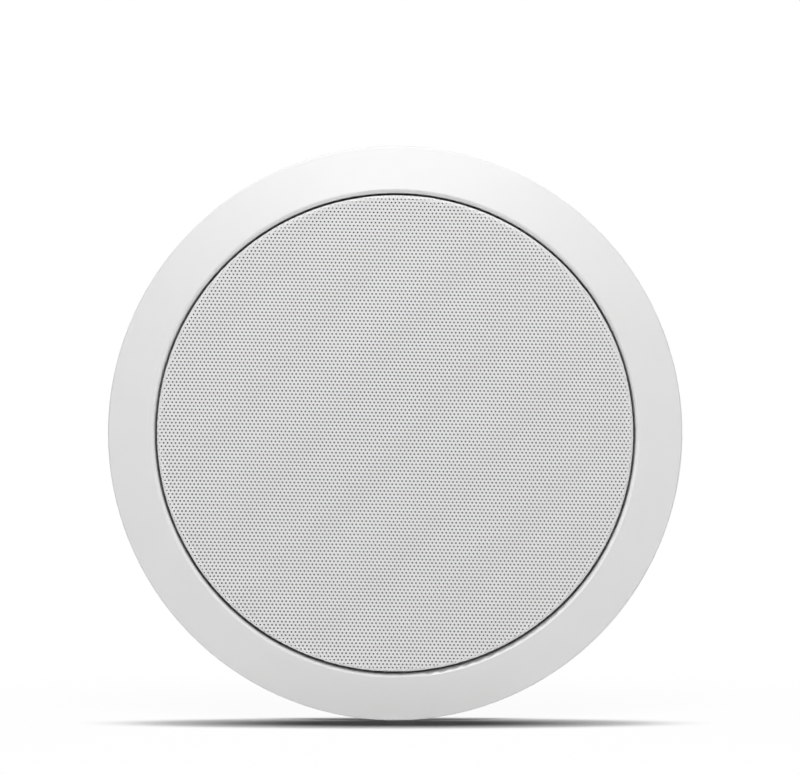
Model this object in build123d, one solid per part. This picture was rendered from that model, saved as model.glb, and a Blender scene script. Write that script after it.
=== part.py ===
# Round two-way in-ceiling loudspeaker, modelled as its separate pieces.
# Millimetres. Front faces -Y, up is +Z, the speaker's axis is Y.
# y = 0 is the ceiling's face: the flange stands in front of it, the body goes in behind it.
import os
from math import asin, atan2, cos, degrees, radians, sin, sqrt
from build123d import *

# Outside sizes
FLANGE_D = 230.0
BEZEL_W = 19.05
BARREL_WALL = 3.0
BARREL_END = 28.0
SEAM_ANGLE = 7.0

# Bezel, the visible part of the flange
BEZEL_CREST = 6.5
BEZEL_EDGE = 2.3
BEZEL_EDGE_ROUND = 1.0
BEZEL_LIP_ROUND = 1.5
FLANGE_WALL = 2.4
FLANGE_SEAT_W = 3.5
FLANGE_SEAT_BREAK = 0.4
FLANGE_FOOT_W = 2.0
FLANGE_RIB_W = 1.5
FLANGE_RIB_COUNT = 24
FLANGE_RIB_SINK = 0.6

# Shelf for the grille, well and baffle for the woofer
SHELF_W = 14.95
SHELF_FRONT = 5.0
SHELF_T = 2.5
WELL_WALL = 2.5
BAFFLE_FRONT = 16.0
BAFFLE_T = 3.0
BAFFLE_LAND_W = 8.0
RIB_W = 2.0
RIB_END = 18.0
RIB_STEP = 18.0
RIB_FIRST = 27.0
JOIN = 1.0

# Grille pan and cloth
GRILLE_GAP = 1.1
GRILLE_SHEET = 0.8
GRILLE_PROUD = 1.1
GRILLE_BEND = 1.0
GRILLE_PITCH = 16.0
GRILLE_HOLE_SIDE = 4.6
GRILLE_PLAIN_EDGE = 7.15
CLOTH_GAP = 1.2
CLOTH_T = 0.4

# Clamps
CLAMP_ANGLES = (45.0, 135.0, 225.0, 315.0)
CLAMP_SCREW_R = 2.0
CLAMP_HOLE_FIT = 0.2
CLAMP_HEAD_R = 3.75
CLAMP_HEAD_H = 2.5
CLAMP_SCREW_TAIL = 2.5
BUSH_WALL = 1.5
BUSH_FIT = 0.05
BUSH_COLLAR_W = 1.1
BUSH_COLLAR_H = 1.2
LEG_WALL = 1.45
LEG_GAP = 0.5
LEG_FRONT = 38.0
LEG_H = 12.0
LEG_TRAVEL = 26.0
LEG_REACH = 26.0
LEG_HALF_W = 4.5
LEG_TIP_T = 4.2
LEG_PAD_W = 8.0
LEG_PAD_H = 2.0
LEG_TEETH = 3
LEG_TOOTH_DEEP = 0.9
LEG_SKIN = 3.0
LEG_SPINE = 2.0
LEG_POCKET_W = 1.3
LEG_DROP = 0.8
LEG_TIP_ROUND = 2.0
TOWER_GAP = 0.8
TOWER_T = 3.6
TOWER_HALF_W = 8.0
TOWER_ROUND = 1.5
TOWER_ARM_GAP = 1.8
TOWER_ARM_T = 3.5
TOWER_ARM_HALF_W = 6.5
TOWER_WEB_W = 5.6
TOWER_WEB_BELOW = 5.0
WINDOW_GAP = 1.5
WINDOW_BEFORE = 5.8
WINDOW_AFTER = 28.0
WINDOW_ROUND = 3.0

# Woofer
GASKET_T = 1.0
BASKET_GAP = 1.0
BASKET_SHEET = 1.5
BASKET_SLOPE_SHEET = 1.2
BASKET_STEP = 3.0
SPIDER_SEAT_W = 5.0
SPIDER_SEAT = 40.0
SPIDER_SEAT_FIT = 0.6
MOTOR_SEAT_DEPTH = 8.0
MOTOR_SEAT_R = 40.5
MOTOR_SEAT_STEP = 3.5
MOTOR_HOLE_STEP = 1.9
BASKET_WINDOW_DEG = 58.0
BASKET_WINDOW_FRONT = 19.0
BASKET_WINDOW_BACK = 36.5
BASKET_WINDOW_ROUND = 4.0
WOOFER_SCREW_ANGLES = (0.0, 90.0, 180.0, 270.0)
SCREW_R = 1.5
SCREW_HOLE_R = 1.6
SCREW_CLEAR_R = 2.2
SCREW_LENGTH_IN = 5.0
SCREW_BORE_SPARE = 1.0
WOOFER_HEAD_R = 3.4
WOOFER_HEAD_H = 2.4
WOOFER_BOSS_R = 3.6
BOSS_H = 7.0
ROLL_OUT = 4.0
ROLL_T = 0.8
ROLL_GAP = 0.5
ROLL_LAP = 0.4
CONE_RIM_W = 3.0
CONE_T = 0.8
CONE_NECK = 34.5
CONE_NECK_FIT = 0.15
CONE_SAG = 1.6
CAP_R = 22.0
CAP_RISE = 7.0
CAP_T = 0.6
CAP_GLUE = 0.1
FORMER_R = 15.0
FORMER_T = 0.25
FORMER_PROUD = 3.0
FORMER_TAIL = 0.5
COIL_T = 0.8
COIL_L = 12.0
COIL_FIT = 0.02
SPIDER_T = 0.6
SPIDER_WAVES = 5
SPIDER_WAVE_H = 1.3
SPIDER_FLAT_W = 3.0
SPIDER_COLLAR_H = 3.0
SPIDER_COLLAR_FIT = 0.05
TOP_PLATE_T = 5.0
PLATE_INSET = 0.5
GAP_OUTSIDE = 0.55
GAP_INSIDE = 0.6
MAGNET_PROUD = 2.5
MAGNET_BORE_R = 22.0
MAGNET_T = 15.0
YOKE_T = 5.0
YOKE_ROUND = 1.8
TOP_PLATE_BREAK = 0.6
MAGNET_ROUND = 1.0
POLE_VENT_R = 5.0
POLE_VENT_FLARE = 2.5
TAG_ANGLE = 135.0
TAG_L = 15.0
TAG_LAP = 3.4
TAG_HALF_W = 10.0
TAG_T = 1.5
TAG_ROUND = 2.0
LUG_L = 15.0
LUG_PROUD = 5.0
LUG_W = 4.8
LUG_SPACING = 10.2
LUG_T = 0.8
LUG_HOLE_R = 0.8
LUG_HOLE_IN = 2.0

# Tweeter and its bridge
BRIDGE_FRONT = -0.5
BRIDGE_T = 3.0
BRIDGE_HALF_W = 8.0
BRIDGE_RING_W = 4.8
BRIDGE_BORE_FIT = 0.2
BRIDGE_ROUND = 8.0
BRIDGE_FOOT_IN = 7.0
BRIDGE_FOOT_W = 12.0
BRIDGE_SCREW_SHIFT = 1.0
BRIDGE_RIB_W = 2.0
BRIDGE_RIB_H = 2.5
BRIDGE_HOLE_R = 1.9
BRIDGE_HEAD_R = 3.2
BRIDGE_HEAD_H = 2.2
BRIDGE_BOSS_R = 4.5
FACE_INSET = 2.0
FACE_T = 2.0
FACE_BREAK = 0.6
FACE_FLARE_W = 3.5
FACE_FLARE_H = 1.6
DOME_R = 12.7
DOME_RISE = 1.9
DOME_T = 0.3
DOME_RIM_W = 3.8
DOME_GAP = 1.3
CUP_SEAT_W = 6.1
CUP_WALL = 2.0
CUP_BACK = 11.0
CUP_BREAK = 0.8
COIL_SPACE = 1.2
TWEETER_MAGNET_H = 5.0
TWEETER_PLATE_H = 2.0
TWEETER_PLATE_PROUD = 0.5

# Crossover
BOARD_T = 1.6
BOARD_FRONT = 34.0
BOARD_MARGIN = 4.0
BOARD_ROUND = 2.0
BOARD_HOLE_R = 1.7
POST_X = 28.0
POST_R = 3.5
POST_BORE_R = 1.3
POST_BORE_DEEP = 9.0
POST_IN = 2.65
BOARD_SCREW_R = 1.2
BOARD_SCREW_IN = 8.0
BOARD_HEAD_R = 2.9
BOARD_HEAD_H = 2.0
CHOKE_R = 10.0
CHOKE_H = 13.0
CHOKE_FLANGE = 1.2
CHOKE_CORE_R = 3.6
CHOKE_AT = (-13.5, 0.0)
SMALL_CHOKE_R = 4.8
SMALL_CHOKE_H = 12.0
SMALL_CHOKE_FLANGE = 1.0
SMALL_CHOKE_CORE_R = 1.6
SMALL_CHOKE_AT = (26.6, 0.0)
WINDING_SINK = 0.8
CAPACITOR_R = 5.0
CAPACITOR_L = 20.0
CAPACITOR_ROUND = 0.8
CAPACITOR_LIFT = 0.02
CAPACITOR_AT = (10.0, -6.25)
RESISTOR_AT = (-28.0, 0.0)
RESISTOR_X = 6.4
RESISTOR_Z = 11.5
RESISTOR_H = 7.0
RESISTOR_ROUND = 0.7
BLOCK_AT = (9.0, 6.75)
BLOCK_X = 24.0
BLOCK_Z = 12.0
BLOCK_H = 11.0
BLOCK_ROUND = 1.2
BLOCK_TOP_ROUND = 0.6
BLOCK_FLOOR = 1.6
PUSH_X = 6.0
PUSH_STEM_R = 2.6
PUSH_FIT = 0.1
PUSH_CAP_R = 4.6
PUSH_CAP_H = 6.5
PUSH_CAP_ROUND = 1.2
PUSH_TRAVEL = 4.0
PUSH_STOP = 0.4
PUSH_WIRE_R = 1.1
FLUTE_COUNT = 12
FLUTE_R = 0.6
FLUTE_OUT = 0.35
FLUTE_FROM = 1.2

# Radii that follow from the flange inwards
flange_r = FLANGE_D / 2
recess_r = flange_r - BEZEL_W
barrel_r = recess_r + BARREL_WALL
foot_r = barrel_r + FLANGE_FOOT_W
core_r = flange_r - FLANGE_SEAT_W
lip_r = recess_r + BEZEL_LIP_ROUND
well_r = recess_r - SHELF_W
well_out = well_r + WELL_WALL
basket_r = well_r - BASKET_GAP
baffle_hole_r = basket_r - BAFFLE_LAND_W
woofer_screw_r = (basket_r + baffle_hole_r) / 2
throat_r = baffle_hole_r - BASKET_STEP
roll_r = throat_r - ROLL_GAP - ROLL_OUT
rim_out = roll_r - ROLL_OUT
surround_in_r = rim_out - CONE_RIM_W
grille_r = recess_r - GRILLE_GAP
bush_r = CLAMP_SCREW_R + BUSH_WALL
leg_boss_r = bush_r + BUSH_FIT + LEG_WALL
clamp_r = well_out + LEG_GAP + leg_boss_r
tower_out = clamp_r - leg_boss_r - TOWER_GAP
tower_in = tower_out - TOWER_T
bridge_foot_r = well_r + BRIDGE_FOOT_IN

# Radii of the motor, from the coil outwards
former_out = FORMER_R + FORMER_T
neck_r = former_out + CONE_NECK_FIT
pole_r = FORMER_R - GAP_INSIDE
plate_bore_r = former_out + COIL_T + GAP_OUTSIDE
motor_hole_r = plate_bore_r + MOTOR_HOLE_STEP
plate_r = MOTOR_SEAT_R - PLATE_INSET
magnet_r = plate_r + MAGNET_PROUD
spider_seat_in_r = MOTOR_SEAT_R + MOTOR_SEAT_STEP
spider_seat_r = spider_seat_in_r + SPIDER_SEAT_W

# Radii of the tweeter, from the dome outwards
cup_in_r = DOME_R + COIL_SPACE
cup_r = cup_in_r + CUP_SEAT_W
bridge_bore_r = cup_r + BRIDGE_BORE_FIT
bridge_ring_r = bridge_bore_r + BRIDGE_RING_W
face_r = bridge_ring_r - FACE_INSET
face_throat_r = DOME_R + DOME_GAP
face_mouth_r = face_throat_r + FACE_FLARE_W
dome_rim_r = DOME_R + DOME_RIM_W
tweeter_magnet_r = DOME_R - COIL_SPACE

# Depths, from the front to the back
grille_front = -BEZEL_CREST - GRILLE_PROUD
pan_back = grille_front + GRILLE_SHEET
bridge_back = BRIDGE_FRONT + BRIDGE_T
shelf_back = SHELF_FRONT + SHELF_T
baffle_back = BAFFLE_FRONT + BAFFLE_T
basket_back = BAFFLE_FRONT - GASKET_T
basket_front = basket_back - BASKET_SHEET
board_back = BOARD_FRONT + BOARD_T
leg_back = LEG_FRONT + LEG_H
arm_front = leg_back + BUSH_COLLAR_H + TOWER_ARM_GAP
arm_back = arm_front + TOWER_ARM_T
window_front = LEG_FRONT - LEG_TRAVEL - LEG_PAD_H - WINDOW_GAP
motor_seat = SPIDER_SEAT + MOTOR_SEAT_DEPTH
plate_back = motor_seat + TOP_PLATE_T
magnet_back = plate_back + MAGNET_T
yoke_back = magnet_back + YOKE_T
coil_front = motor_seat + TOP_PLATE_T / 2 - COIL_L / 2
coil_back = coil_front + COIL_L


def prism(sketch, front, back):
    """A sketch in X and Z, pulled from one depth to another."""
    return extrude(Plane.XZ.offset(-front) * sketch, amount=-(back - front))


def tube(r_out, r_in, front, back):
    """A ring about the speaker's axis."""
    return prism(Circle(r_out) - Circle(r_in), front, back)


def spun(*points):
    """A closed (radius, depth) outline, turned about the speaker's axis."""
    return revolve(make_face(Polyline(*points, close=True)), Axis.Y)


def polar(radius, angle):
    """X and Z of a point at an angle that counts from +X towards +Z."""
    return radius * cos(radians(angle)), radius * sin(radians(angle))


def turned(shape, angle):
    """A piece modelled on the +X side, moved round to an angle."""
    return Rot(0, -angle, 0) * shape


def block(x0, x1, front, back, z0, z1):
    """A box between two corners."""
    return Pos((x0 + x1) / 2, (front + back) / 2, (z0 + z1) / 2) * Box(x1 - x0, back - front, z1 - z0)


def rod(x, z, r, front, back):
    """A round bar along the depth."""
    return prism(Pos(x, z) * Circle(r), front, back)


def widest(shape):
    """The circular edges of a turned piece that lie farthest from its axis."""
    return shape.edges().filter_by(GeomType.CIRCLE).group_by(SortBy.RADIUS)[-1]


def dome_arc(edge_r, edge, top):
    """The arc of a ball's section, from its top on the axis out to an edge."""
    rise = edge - top
    ball = (edge_r**2 + rise**2) / (2 * rise)
    half = asin(edge_r / ball) / 2
    return ThreePointArc((0, top), (ball * sin(half), top + ball * (1 - cos(half))), (edge_r, edge))


def pan_screw(x, z, head_r, head_h, seat, shank_r, shank_end):
    """A cross-recess pan-head screw whose head stands in front of its seat."""
    head = rod(x, z, head_r, seat - head_h, seat)
    head = fillet(head.edges().sort_by(Axis.Y)[0], head_h * 0.55)
    slot = Pos(x, z) * (Rectangle(head_r * 1.15, head_r * 0.26) + Rectangle(head_r * 0.26, head_r * 1.15))
    head -= prism(slot, seat - head_h, seat - head_h * 0.4)
    shank = rod(x, z, shank_r, seat, shank_end)
    shank = chamfer(shank.edges().sort_by(Axis.Y)[-1], shank_r * 0.45)
    return head + shank


# Frame: bezel flange, recess barrel, grille shelf, woofer well and baffle in one turned section
slope = (BEZEL_CREST - BEZEL_EDGE) / (flange_r - BEZEL_EDGE_ROUND - lip_r)
lip_mid = BEZEL_LIP_ROUND * (1 - cos(radians(45)))
bezel_line = Line((flange_r - BEZEL_EDGE_ROUND, -BEZEL_EDGE), (lip_r, -BEZEL_CREST))
lip_arc = ThreePointArc(
    (lip_r, -BEZEL_CREST),
    (recess_r + lip_mid, -BEZEL_CREST + lip_mid),
    (recess_r, -BEZEL_CREST + BEZEL_LIP_ROUND),
)
edge_mid = BEZEL_EDGE_ROUND * sin(radians(45))
edge_arc = ThreePointArc(
    (flange_r, -BEZEL_EDGE + BEZEL_EDGE_ROUND),
    (flange_r - BEZEL_EDGE_ROUND + edge_mid, -BEZEL_EDGE + BEZEL_EDGE_ROUND - edge_mid),
    (flange_r - BEZEL_EDGE_ROUND, -BEZEL_EDGE),
)
back_line = Polyline(
    (recess_r, -BEZEL_CREST + BEZEL_LIP_ROUND),
    (recess_r, SHELF_FRONT),
    (well_r, SHELF_FRONT),
    (well_r, BAFFLE_FRONT),
    (baffle_hole_r, BAFFLE_FRONT),
    (baffle_hole_r, baffle_back),
    (well_out, baffle_back),
    (well_out, shelf_back),
    (recess_r, shelf_back),
    (recess_r, BARREL_END),
    (barrel_r, BARREL_END),
    (barrel_r, 0),
    (foot_r, 0),
    (foot_r, -BEZEL_EDGE - slope * (flange_r - foot_r) + FLANGE_WALL),
    (core_r, -BEZEL_EDGE - slope * FLANGE_SEAT_W + FLANGE_WALL),
    (core_r, 0),
    (flange_r - FLANGE_SEAT_BREAK, 0),
    (flange_r, -FLANGE_SEAT_BREAK),
    (flange_r, -BEZEL_EDGE + BEZEL_EDGE_ROUND),
)
frame = turned(revolve(make_face([edge_arc, bezel_line, lip_arc, back_line]), Axis.Y), SEAM_ANGLE)

# Stiffening ribs in the hollow back of the flange, a little short of the ceiling
rib_root = FLANGE_WALL / 2 - BEZEL_EDGE - slope * flange_r
rib_outline = make_face(
    Polyline(
        (foot_r - JOIN, rib_root + slope * (foot_r - JOIN)),
        (core_r + JOIN, rib_root + slope * (core_r + JOIN)),
        (core_r + JOIN, -FLANGE_RIB_SINK),
        (foot_r - JOIN, -FLANGE_RIB_SINK),
        close=True,
    )
)
flange_rib = extrude(rib_outline, amount=FLANGE_RIB_W / 2, both=True)
for k in range(FLANGE_RIB_COUNT):
    frame += turned(flange_rib, (k + 0.5) * 360 / FLANGE_RIB_COUNT)

# Gussets between the well and the barrel, four in each quarter, clear of the clamps' swing
gusset = block(well_out - JOIN, recess_r + JOIN, shelf_back - JOIN, RIB_END, -RIB_W / 2, RIB_W / 2)
for clamp in CLAMP_ANGLES:
    for k in range(4):
        frame += turned(gusset, clamp + RIB_FIRST + k * RIB_STEP)

# Clamp towers: a column on the well's back, an arm over the screw, a gusset on the baffle
column = block(tower_in, tower_out, BAFFLE_FRONT + JOIN, arm_back, -TOWER_HALF_W, TOWER_HALF_W)
arm_plan = Pos((tower_in + clamp_r) / 2, 0) * Rectangle(clamp_r - tower_in, 2 * TOWER_ARM_HALF_W)
arm_plan += Pos(clamp_r, 0) * Circle(TOWER_ARM_HALF_W)
arm = prism(arm_plan, arm_front, arm_back)
web_root = baffle_back - JOIN
web_outline = make_face(
    Polyline(
        (tower_in - TOWER_WEB_W, web_root),
        (tower_in + JOIN, web_root),
        (tower_in + JOIN, arm_front - TOWER_WEB_BELOW),
        close=True,
    )
)
web = extrude(web_outline, amount=RIB_W / 2, both=True)
column = fillet(column.edges().filter_by(Axis.Y).group_by(Axis.X)[0], TOWER_ROUND)
tower = column + arm + web
window_in = sqrt(recess_r**2 - WINDOW_AFTER**2) - JOIN
window = block(window_in, barrel_r + JOIN, window_front, BARREL_END + JOIN, -WINDOW_BEFORE, WINDOW_AFTER)
window = fillet(window.edges().filter_by(Axis.X).group_by(Axis.Y)[0], WINDOW_ROUND)
for clamp in CLAMP_ANGLES:
    frame -= turned(window, clamp)
    frame += turned(tower, clamp)
for clamp in CLAMP_ANGLES:
    clamp_x, clamp_z = polar(clamp_r, clamp)
    clamp_hole_r = CLAMP_SCREW_R + CLAMP_HOLE_FIT
    frame -= rod(clamp_x, clamp_z, clamp_hole_r, SHELF_FRONT - JOIN, shelf_back + JOIN)
    frame -= rod(clamp_x, clamp_z, clamp_hole_r, arm_front - JOIN, arm_back + JOIN)

# Screw bosses for the woofer and the bridge, posts for the crossover board
screw_bore = SCREW_LENGTH_IN + SCREW_BORE_SPARE
for angle in WOOFER_SCREW_ANGLES:
    screw_x, screw_z = polar(woofer_screw_r, angle)
    frame += rod(screw_x, screw_z, WOOFER_BOSS_R, baffle_back - JOIN, baffle_back + BOSS_H)
    frame -= rod(screw_x, screw_z, SCREW_HOLE_R, BAFFLE_FRONT - JOIN, baffle_back + screw_bore)
post_low_z = sqrt(woofer_screw_r**2 - POST_X**2)
post_high_z = sqrt((recess_r - POST_IN) ** 2 - POST_X**2)
for side in (-1, 1):
    frame += rod(side * bridge_foot_r, 0, BRIDGE_BOSS_R, shelf_back - JOIN, shelf_back + BOSS_H)
    frame -= rod(side * bridge_foot_r, 0, SCREW_HOLE_R, SHELF_FRONT - JOIN, shelf_back + screw_bore)
    frame += rod(side * POST_X, post_high_z, POST_R, shelf_back - JOIN, BOARD_FRONT)
    frame += rod(side * POST_X, post_low_z, POST_R, baffle_back - JOIN, BOARD_FRONT)
    for post_z in (post_low_z, post_high_z):
        frame -= rod(side * POST_X, post_z, POST_BORE_R, BOARD_FRONT - POST_BORE_DEEP, BOARD_FRONT + JOIN)

# Grille: a pressed pan, with a coarse stand-in for its fine perforation
pan_in_r = grille_r - GRILLE_SHEET
bend_in = GRILLE_BEND - GRILLE_SHEET
out_mid = GRILLE_BEND * (1 - cos(radians(45)))
in_mid = bend_in * (1 - cos(radians(45)))
pan_front = Line((0, grille_front), (grille_r - GRILLE_BEND, grille_front))
pan_outer_bend = ThreePointArc(
    (grille_r - GRILLE_BEND, grille_front),
    (grille_r - out_mid, grille_front + out_mid),
    (grille_r, grille_front + GRILLE_BEND),
)
pan_rim = Polyline(
    (grille_r, grille_front + GRILLE_BEND),
    (grille_r, SHELF_FRONT),
    (pan_in_r, SHELF_FRONT),
    (pan_in_r, pan_back + bend_in),
)
pan_inner_bend = ThreePointArc(
    (pan_in_r, pan_back + bend_in),
    (pan_in_r - in_mid, pan_back + in_mid),
    (pan_in_r - bend_in, pan_back),
)
pan_inside = Polyline((pan_in_r - bend_in, pan_back), (0, pan_back), (0, grille_front))
grille = revolve(make_face([pan_front, pan_outer_bend, pan_rim, pan_inner_bend, pan_inside]), Axis.Y)
row_step = GRILLE_PITCH * sqrt(3) / 2
hole_field_r = grille_r - GRILLE_PLAIN_EDGE
row_count = int(hole_field_r / row_step)
perforation = Sketch()
for row in range(-row_count, row_count + 1):
    for column_k in range(-row_count, row_count + 1):
        hole_x = (column_k + 0.5 * (row % 2)) * GRILLE_PITCH
        hole_z = row * row_step
        if hole_x**2 + hole_z**2 < hole_field_r**2:
            perforation += Pos(hole_x, hole_z) * RegularPolygon(GRILLE_HOLE_SIDE, 6)
grille -= prism(perforation, grille_front - JOIN, pan_back + JOIN)
grille_cloth = prism(Circle(pan_in_r - CLOTH_GAP), pan_back, pan_back + CLOTH_T)

# Woofer basket: flange, sloping wall with four windows, spider seat, motor seat
basket = spun(
    (basket_r, basket_front),
    (throat_r, basket_front),
    (spider_seat_r, SPIDER_SEAT),
    (spider_seat_in_r, SPIDER_SEAT),
    (MOTOR_SEAT_R, motor_seat - BASKET_SHEET),
    (motor_hole_r, motor_seat - BASKET_SHEET),
    (motor_hole_r, motor_seat),
    (MOTOR_SEAT_R + BASKET_SLOPE_SHEET, motor_seat),
    (spider_seat_in_r + BASKET_SLOPE_SHEET, SPIDER_SEAT + BASKET_SHEET),
    (spider_seat_r + BASKET_SLOPE_SHEET, SPIDER_SEAT + BASKET_SHEET),
    (throat_r + BASKET_SLOPE_SHEET, basket_back),
    (basket_r, basket_back),
)
opening_in = spider_seat_r - BASKET_STEP
opening_out = baffle_hole_r + BASKET_STEP
opening = make_face(
    Polyline(
        (opening_in, BASKET_WINDOW_FRONT),
        (opening_out, BASKET_WINDOW_FRONT),
        (opening_out, BASKET_WINDOW_BACK),
        (opening_in, BASKET_WINDOW_BACK),
        close=True,
    )
)
opening = revolve(opening, Axis.Y, BASKET_WINDOW_DEG)
flat_ends = [f for f in opening.faces() if f.geom_type == GeomType.PLANE and abs(f.normal_at().Y) < 0.1]
end_edges = [e for f in flat_ends for e in f.edges() if abs((e % 0.5).Y) < 0.01]
opening = fillet(end_edges, BASKET_WINDOW_ROUND)
opening_mid = degrees(atan2(opening.center().Z, opening.center().X))
woofer_gasket = tube(basket_r, baffle_hole_r, basket_back, BAFFLE_FRONT)
woofer_screw_list = []
for angle in WOOFER_SCREW_ANGLES:
    basket -= turned(opening, angle - opening_mid)
    screw_x, screw_z = polar(woofer_screw_r, angle)
    basket -= rod(screw_x, screw_z, SCREW_CLEAR_R, basket_front - JOIN, basket_back + JOIN)
    woofer_gasket -= rod(screw_x, screw_z, SCREW_CLEAR_R, basket_back - JOIN, BAFFLE_FRONT + JOIN)
    screw_end = baffle_back + SCREW_LENGTH_IN
    woofer_screw_list.append(
        pan_screw(screw_x, screw_z, WOOFER_HEAD_R, WOOFER_HEAD_H, basket_front, SCREW_R, screw_end)
    )
woofer_screws = Compound(children=woofer_screw_list)

# Surround: a half roll between two flat glue lands
land = basket_front
roll = Pos(roll_r, land) * (Circle(ROLL_OUT) - Circle(ROLL_OUT - ROLL_T))
roll -= Pos(roll_r, land + ROLL_OUT) * Rectangle(4 * ROLL_OUT, 2 * ROLL_OUT)
land_w = CONE_RIM_W + ROLL_LAP
inner_land = Pos(surround_in_r + land_w / 2, land - ROLL_T / 2) * Rectangle(land_w, ROLL_T)
land_w = baffle_hole_r - roll_r - ROLL_OUT + ROLL_LAP
outer_land = Pos(baffle_hole_r - land_w / 2, land - ROLL_T / 2) * Rectangle(land_w, ROLL_T)
woofer_surround = revolve(roll + inner_land + outer_land, Axis.Y)

# Cone with a flat rim under the surround and a slightly curved wall; dust cap glued on it
cone_chord = ((surround_in_r + neck_r) / 2, (land + CONE_NECK) / 2 - CONE_SAG)
cone_front = ThreePointArc((surround_in_r, land), cone_chord, (neck_r, CONE_NECK))
cone_back = ThreePointArc(
    (neck_r, CONE_NECK + CONE_T),
    (cone_chord[0], cone_chord[1] + CONE_T),
    (surround_in_r, land + CONE_T),
)
cone_neck = Line((neck_r, CONE_NECK), (neck_r, CONE_NECK + CONE_T))
cone_rim = Polyline(
    (surround_in_r, land + CONE_T), (rim_out, land + CONE_T), (rim_out, land), (surround_in_r, land)
)
woofer_cone = revolve(make_face([cone_front, cone_neck, cone_back, cone_rim]), Axis.Y)
cap_rim = cone_front.intersect(Line((CAP_R, land), (CAP_R, CONE_NECK))).vertices()
cap_seat = min(v.Y for v in cap_rim) - CAP_GLUE
cap_front = dome_arc(CAP_R, cap_seat - CAP_T, cap_seat - CAP_RISE)
cap_back = dome_arc(CAP_R, cap_seat, cap_seat - CAP_RISE + CAP_T)
cap_edge = Line((CAP_R, cap_seat - CAP_T), (CAP_R, cap_seat))
cap_axis = Line((0, cap_seat - CAP_RISE + CAP_T), (0, cap_seat - CAP_RISE))
dust_cap = revolve(make_face([cap_front, cap_edge, cap_back, cap_axis]), Axis.Y)

# Voice coil on its former
coil_former = tube(former_out, FORMER_R, CONE_NECK - FORMER_PROUD, coil_back + FORMER_TAIL)
voice_coil = tube(former_out + COIL_T, former_out + COIL_FIT, coil_front, coil_back)

# Spider: flat outer land on the basket's seat, five waves, a collar on the former
flat_r = FORMER_R + SPIDER_FLAT_W
land_r = spider_seat_r - SPIDER_SEAT_FIT
spider_front = SPIDER_SEAT - SPIDER_T
wave = (spider_seat_in_r - flat_r) / (2 * SPIDER_WAVES)
front_line = [Line((land_r, spider_front), (spider_seat_in_r, spider_front))]
back_line = [Line((spider_seat_in_r, SPIDER_SEAT), (land_r, SPIDER_SEAT))]
for k in range(2 * SPIDER_WAVES):
    r0 = spider_seat_in_r - k * wave
    lift = -SPIDER_WAVE_H if k % 2 == 0 else SPIDER_WAVE_H
    front_line.append(
        ThreePointArc((r0, spider_front), (r0 - wave / 2, spider_front + lift), (r0 - wave, spider_front))
    )
    back_line.insert(
        0, ThreePointArc((r0 - wave, SPIDER_SEAT), (r0 - wave / 2, SPIDER_SEAT + lift), (r0, SPIDER_SEAT))
    )
collar_r = former_out + SPIDER_COLLAR_FIT
collar = Polyline(
    (flat_r, spider_front),
    (collar_r + SPIDER_T, spider_front),
    (collar_r + SPIDER_T, SPIDER_SEAT - SPIDER_COLLAR_H),
    (collar_r, SPIDER_SEAT - SPIDER_COLLAR_H),
    (collar_r, SPIDER_SEAT),
    (flat_r, SPIDER_SEAT),
)
spider_end = Line((land_r, SPIDER_SEAT), (land_r, spider_front))
spider = revolve(make_face([*front_line, collar, *back_line, spider_end]), Axis.Y)

# Motor: top plate, ferrite ring, yoke with a vented pole
top_plate = tube(plate_r, plate_bore_r, motor_seat, plate_back)
top_plate = chamfer(widest(top_plate), TOP_PLATE_BREAK)
magnet = tube(magnet_r, MAGNET_BORE_R, plate_back, magnet_back)
magnet = fillet(widest(magnet), MAGNET_ROUND)
yoke = prism(Circle(plate_r), magnet_back, yoke_back) + prism(Circle(pole_r), motor_seat, magnet_back)
yoke -= prism(Circle(POLE_VENT_R), motor_seat - JOIN, yoke_back + JOIN)
yoke -= spun(
    (0, yoke_back - POLE_VENT_FLARE),
    (POLE_VENT_R, yoke_back - POLE_VENT_FLARE),
    (POLE_VENT_R + POLE_VENT_FLARE + JOIN, yoke_back + JOIN),
    (0, yoke_back + JOIN),
)
yoke = fillet(widest(yoke).sort_by(Axis.Y)[-1], YOKE_ROUND)

# Woofer terminal board, riveted behind the spider seat, with two solder lugs
tag_in = spider_seat_r - TAG_LAP
tag_front = SPIDER_SEAT + BASKET_SHEET
tag_back = tag_front + TAG_T
woofer_terminal = block(tag_in, tag_in + TAG_L, tag_front, tag_back, -TAG_HALF_W, TAG_HALF_W)
woofer_terminal = fillet(woofer_terminal.edges().filter_by(Axis.Y), TAG_ROUND)
lug_in = tag_in + TAG_L - LUG_L + LUG_PROUD
lugs = []
for side in (-1, 1):
    lug_z = side * LUG_SPACING / 2
    lug = block(lug_in, lug_in + LUG_L, tag_back, tag_back + LUG_T, lug_z - LUG_W / 2, lug_z + LUG_W / 2)
    lug -= rod(lug_in + LUG_L - LUG_HOLE_IN, lug_z, LUG_HOLE_R, tag_back - JOIN, tag_back + LUG_T + JOIN)
    lugs.append(turned(lug, TAG_ANGLE))
woofer_terminal = turned(woofer_terminal, TAG_ANGLE)
woofer_lugs = Compound(children=lugs)

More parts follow.
